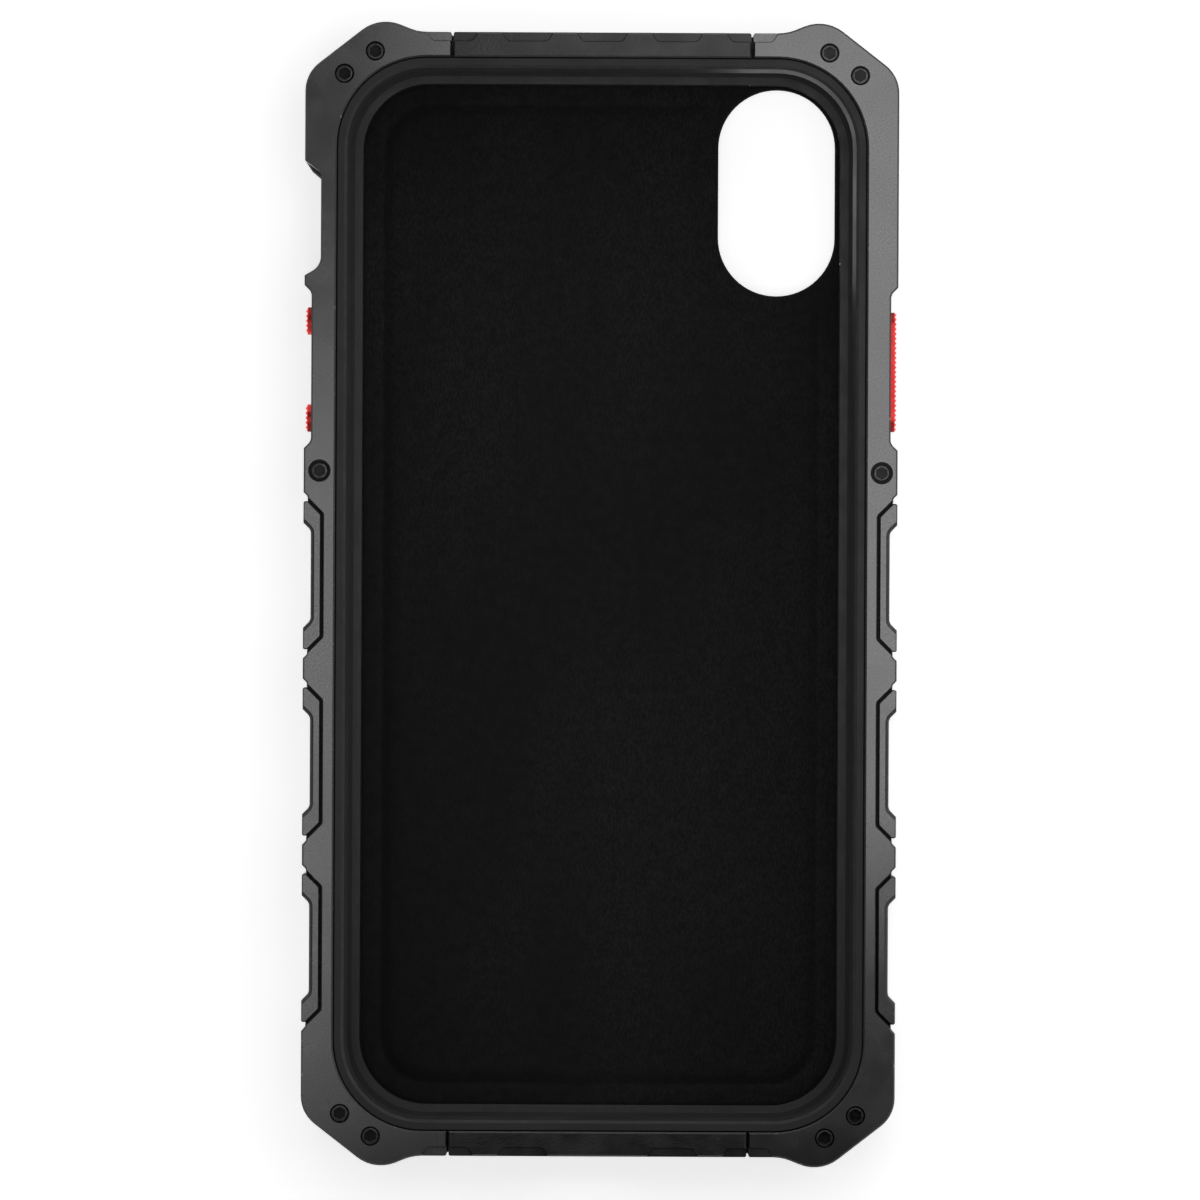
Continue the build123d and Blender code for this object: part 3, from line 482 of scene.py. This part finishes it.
def microfibre_lining(material):
    """Microfibre on thin foam: a pressed border, a groove inside it, and a crowned field with the
    camera window let in. It lies flat on the back plate."""
    low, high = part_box("back_lining")
    ring_low, ring_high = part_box("camera_ring")
    half = (high - low) / 2
    window = (ring_low + ring_high) / 2
    window_half = (ring_high - ring_low) / 2 - Vector((LINING_WINDOW_INSET, LINING_WINDOW_INSET, 0))
    window_corner = LINING_WINDOW_ROUND * window_half.x

    def outlines(inset):
        """Points round the outer edge and round the window, that far into the lining."""
        outer = rounded_rectangle(
            half.x - inset, half.y - inset, LINING_CORNER - inset, LINING_STEP
        )
        inner = rounded_rectangle(
            window_half.x + inset, window_half.y + inset, window_corner + inset, LINING_STEP
        )
        return outer, [point + window.xy for point in inner]

    def inside(x, y):
        """How far points are from the nearer of the two edges, negative outside the lining."""
        outer = edge_distance(x, y, half.x, half.y, LINING_CORNER)
        hole = edge_distance(x - window.x, y - window.y, window_half.x, window_half.y, window_corner)
        return np.minimum(outer, -hole)

    rows = [point for inset in LINING_ROWS for outline in outlines(inset * MM) for point in outline]
    rows = np.array(rows)
    rows = rows[inside(rows[:, 0], rows[:, 1]) > LINING_ROUNDING / 4]
    columns, lines = np.meshgrid(
        np.arange(-half.x, half.x, LINING_PITCH), np.arange(-half.y, half.y, LINING_PITCH)
    )
    field = np.stack([columns.ravel(), lines.ravel()], axis=1)
    field[:, 0] += np.round(field[:, 1] / LINING_PITCH) % 2 * LINING_PITCH / 2
    field = field[inside(field[:, 0], field[:, 1]) > max(LINING_ROWS) * MM + LINING_PITCH / 2]

    outer, opening = outlines(0)
    points = outer + opening + [Vector(place) for place in np.concatenate([rows, field])]
    loops = [(k, (k + 1) % len(outer)) for k in range(len(outer))]
    loops += [(len(outer) + k, len(outer) + (k + 1) % len(opening)) for k in range(len(opening))]
    plan, _, faces, *_ = delaunay_2d_cdt(points, loops, [], 0, SAME_POINT)
    plan = np.array(plan)
    middles = np.array([plan[face].mean(axis=0) for face in faces])
    faces = [face for face, depth in zip(faces, inside(middles[:, 0], middles[:, 1])) if depth > 0]

    depth = inside(plan[:, 0], plan[:, 1])
    groove = np.exp(-(((depth - LINING_BORDER) / LINING_GROOVE) ** 2))
    crown = np.clip((depth - LINING_BORDER) / LINING_RISE, 0, 1)
    crown = crown * crown * (3 - 2 * crown)
    fall = np.clip(1 - depth / LINING_ROUNDING, 0, 1)
    top = high.z - LINING_PRESSED * (1 - crown) - LINING_GROOVE_DEPTH * groove
    top = top - LINING_ROUNDING * (1 - np.sqrt(1 - fall**2))

    lining = mesh_piece("microfibre_lining", closed_slab(plan, faces, top, low.z), material)
    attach(lining, "case")
    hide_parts("back_lining")


def rib_column(build, spot, low, high):
    """A soft round column with a domed top."""
    levels = [(low, 1.0), (high - RIB_RADIUS, 1.0)]
    for share in RIB_DOME:
        levels.append((high - RIB_RADIUS * (1 - share), math.sqrt(1 - share**2)))
    rings = []
    for z, swell in levels:
        ring = []
        for index in range(RIB_SIDES):
            angle = 2 * math.pi * index / RIB_SIDES
            x = spot.x + RIB_RADIUS * swell * math.cos(angle)
            y = spot.y + RIB_RADIUS * swell * math.sin(angle)
            ring.append(build.verts.new((x, y, z)))
        rings.append(ring)
    for below, above in zip(rings, rings[1:]):
        for index in range(RIB_SIDES):
            after = (index + 1) % RIB_SIDES
            build.faces.new((below[index], below[after], above[after], above[index]))
    build.faces.new(rings[0][::-1])
    build.faces.new(rings[-1])


def rib_free_spans():
    """The stretches of each side wall, as (from, to) along Y, that carry no ribs."""
    openings = {opening["name"]: opening["box_m"] for opening in frame["record"]["physics"]["openings"]}
    switch_low, switch_high = openings["silent_switch_window"]
    buttons = [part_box(name) for name in ("volume_up_button", "volume_down_button")]
    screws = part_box("side_screws")
    left = [(switch_low[1], switch_high[1])] + [(low.y, high.y) for low, high in [*buttons, screws]]
    right = [(low.y, high.y) for low, high in (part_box("power_button"), screws)]
    return left, right


def liner_ribs(material):
    """Small crush ribs on the liner's inner wall, left out at the windows and the screw bosses."""
    low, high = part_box("shock_liner")
    half = high.xy - Vector((LINER_WALL, LINER_WALL))
    spots = rounded_rectangle(
        half.x + RIB_SETBACK, half.y + RIB_SETBACK, LINER_CORNER + RIB_SETBACK, RIB_PITCH
    )
    left, right = rib_free_spans()
    build = bmesh.new()
    for spot in spots:
        blocked = spot.y < -half.y and abs(spot.x) < BOTTOM_WINDOWS_HALF
        if abs(spot.x) > half.x:
            for start, end in right if spot.x > 0 else left:
                blocked = blocked or start - RIB_CLEAR < spot.y < end + RIB_CLEAR
        if not blocked:
            rib_column(build, spot, low.z + LINER_FOOT, high.z - RIB_TOP_GAP)
    ribs = mesh_piece("liner_ribs", build, material)
    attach(ribs, "case")


def studio_base():
    """The pale board that the case lies on."""
    build = bmesh.new()
    bmesh.ops.create_grid(
        build, x_segments=FLOOR_CELLS, y_segments=FLOOR_CELLS, size=FLOOR_SIZE / 2
    )
    floor = mesh_piece("studio_floor", build, studio_floor(), smooth=False)
    floor.location.z = CAD_BOX[0].z - FLOOR_DROP


def soft_lights():
    """Rectangular lights that look straight down and stay out of the picture."""
    for name, (place, size, watts) in LIGHTS.items():
        data = bpy.data.lights.new(name, "AREA")
        data.shape = "RECTANGLE"
        data.size, data.size_y = size
        data.energy = watts
        light = bpy.data.objects.new(name, data)
        light.location = (*place, LIGHT_HEIGHT)
        light.visible_camera = False
        bpy.context.scene.collection.objects.link(light)


def surrounding_glow():
    """A pale world, bright round the sides and nearly dark overhead."""
    world = bpy.data.worlds.new("studio_glow")
    world.use_nodes = True
    nodes = world.node_tree.nodes
    join = world.node_tree.links.new
    background = nodes["Background"]
    background.inputs["Color"].default_value = grey(1.0)
    direction = nodes.new("ShaderNodeTexCoord").outputs["Generated"]
    split = nodes.new("ShaderNodeSeparateXYZ")
    join(direction, split.inputs[0])
    height = nodes.new("ShaderNodeMapRange")
    height.interpolation_type = "SMOOTHSTEP"
    height.inputs["From Min"].default_value = GLOW_FROM
    height.inputs["From Max"].default_value = GLOW_TO
    height.inputs["To Min"].default_value = 1.0
    height.inputs["To Max"].default_value = GLOW_OVERHEAD
    join(split.outputs["Z"], height.inputs["Value"])
    side = nodes.new("ShaderNodeVectorMath")
    side.operation = "DOT_PRODUCT"
    side.inputs[1].default_value = GLOW_LEAN
    join(direction, side.inputs[0])
    level = nodes.new("ShaderNodeMath")
    level.operation = "ADD"
    level.inputs[1].default_value = GLOW_LEVEL
    join(side.outputs["Value"], level.inputs[0])
    strength = nodes.new("ShaderNodeMath")
    strength.operation = "MULTIPLY"
    join(level.outputs[0], strength.inputs[0])
    join(height.outputs["Result"], strength.inputs[1])
    join(strength.outputs[0], background.inputs["Strength"])
    bpy.context.scene.world = world


def front_camera():
    """A camera far above the case, so that it is seen nearly without perspective."""
    data = bpy.data.cameras.new("camera")
    data.sensor_width = SENSOR_WIDTH
    data.lens = SENSOR_WIDTH * CAMERA_HEIGHT / VIEW_WIDTH
    data.clip_start = NEAREST_SEEN
    camera = bpy.data.objects.new("camera", data)
    camera.location = (0, -CAMERA_DROP, CAD_BOX[1].z + CAMERA_HEIGHT)
    camera.rotation_euler = (0, 0, CAMERA_ROLL)
    scene = bpy.context.scene
    scene.collection.objects.link(camera)
    scene.camera = camera
    scene.view_settings.view_transform = "Standard"


finishes = finish_cad_nodes()
microfibre_lining(finishes["lining_fabric"])
liner_ribs(finishes["liner_rubber"])
studio_base()
soft_lights()
surrounding_glow()
front_camera()
